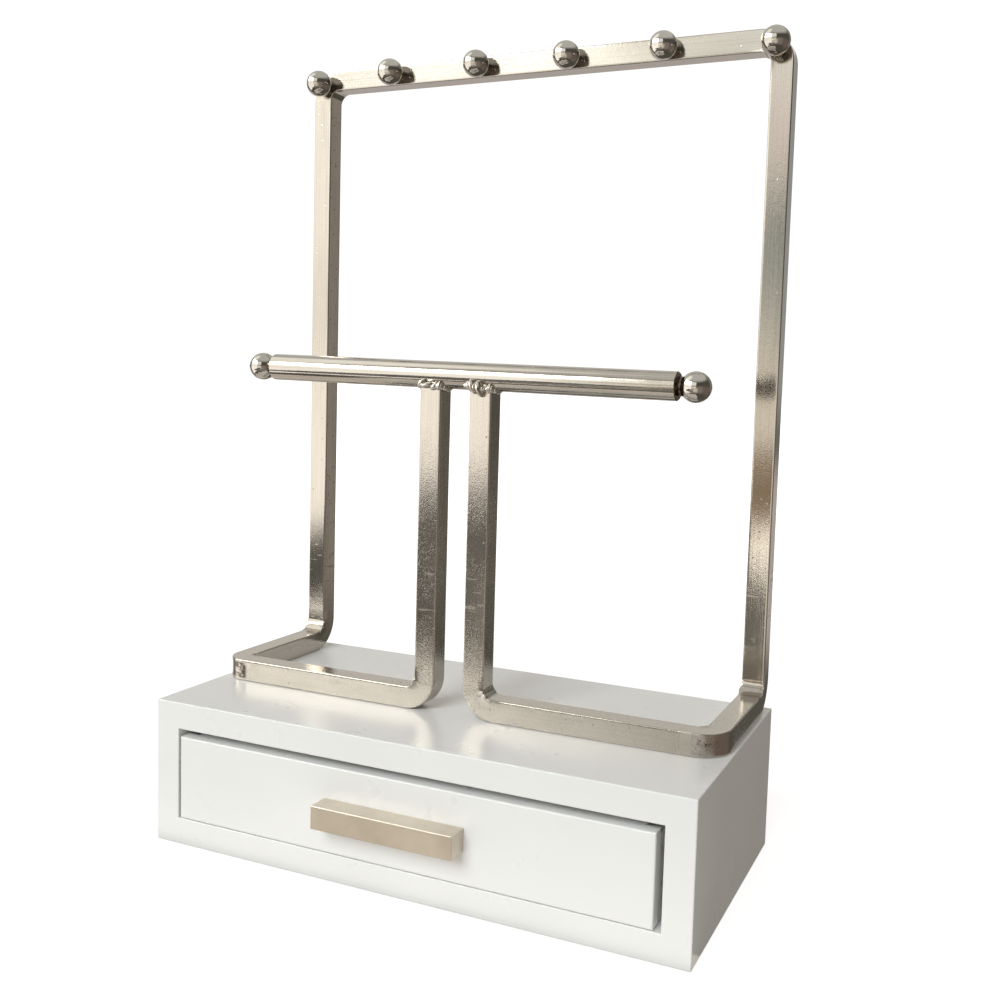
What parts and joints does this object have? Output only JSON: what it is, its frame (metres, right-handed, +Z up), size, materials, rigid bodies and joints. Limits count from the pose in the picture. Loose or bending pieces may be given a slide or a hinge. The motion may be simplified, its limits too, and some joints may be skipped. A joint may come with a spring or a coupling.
{
  "type": "jewelry stand with drawer",
  "caption": "White lacquered box with an inset drawer, carrying a stand of bent square nickel bar: a tall loop with hanging balls and a low round T-bar.",
  "frame": {"origin": "centre of the case's underside, where the stand rests", "axes": "+X to the right of someone facing the drawer, +Y to the back, +Z up; the drawer opens towards -Y"},
  "size_m": [0.25, 0.137, 0.3697],
  "materials": {
    "case_lacquer": "white lacquer over fibreboard, semi-gloss",
    "drawer_lacquer": "white lacquer over fibreboard, semi-gloss",
    "drawer_board": "white painted fibreboard, matt",
    "drawer_panel": "white painted thin board, matt",
    "dowel_wood": "plain beech",
    "bar_nickel": "nickel plate over drawn steel, bright with draw marks and pits",
    "t_bar_nickel": "polished nickel plate",
    "ball_chrome": "mirror-polished nickel plate",
    "weld_nickel": "nickel-plated weld bead, lumpy and bright",
    "handle_nickel": "satin warm nickel",
    "fastener_steel": "zinc-plated steel"
  },
  "bodies": {
    "case": {"case_top": "case_lacquer", "case_bottom": "case_lacquer", "case_left_side": "case_lacquer", "case_right_side": "case_lacquer", "case_back": "case_lacquer", "case_dowels": "dowel_wood", "frame_bar": "bar_nickel", "frame_screws": "fastener_steel", "t_bar": "t_bar_nickel", "t_bar_left_ball": "ball_chrome", "t_bar_right_ball": "ball_chrome", "left_weld": "weld_nickel", "right_weld": "weld_nickel", "hook_ball_1": "ball_chrome", "hook_ball_2": "ball_chrome", "hook_ball_3": "ball_chrome", "hook_ball_4": "ball_chrome", "hook_ball_5": "ball_chrome", "hook_ball_6": "ball_chrome"},
    "drawer": {"drawer_front": "drawer_lacquer", "drawer_left_side": "drawer_board", "drawer_right_side": "drawer_board", "drawer_back": "drawer_board", "drawer_bottom": "drawer_panel", "drawer_pins": "fastener_steel", "drawer_handle": "handle_nickel", "handle_screws": "fastener_steel"}
  },
  "joints": [
    {"name": "drawer_slide", "type": "slide", "parent": "case", "child": "drawer", "axis": [0, -1, 0], "range_m": [0, 0.085]}
  ]
}
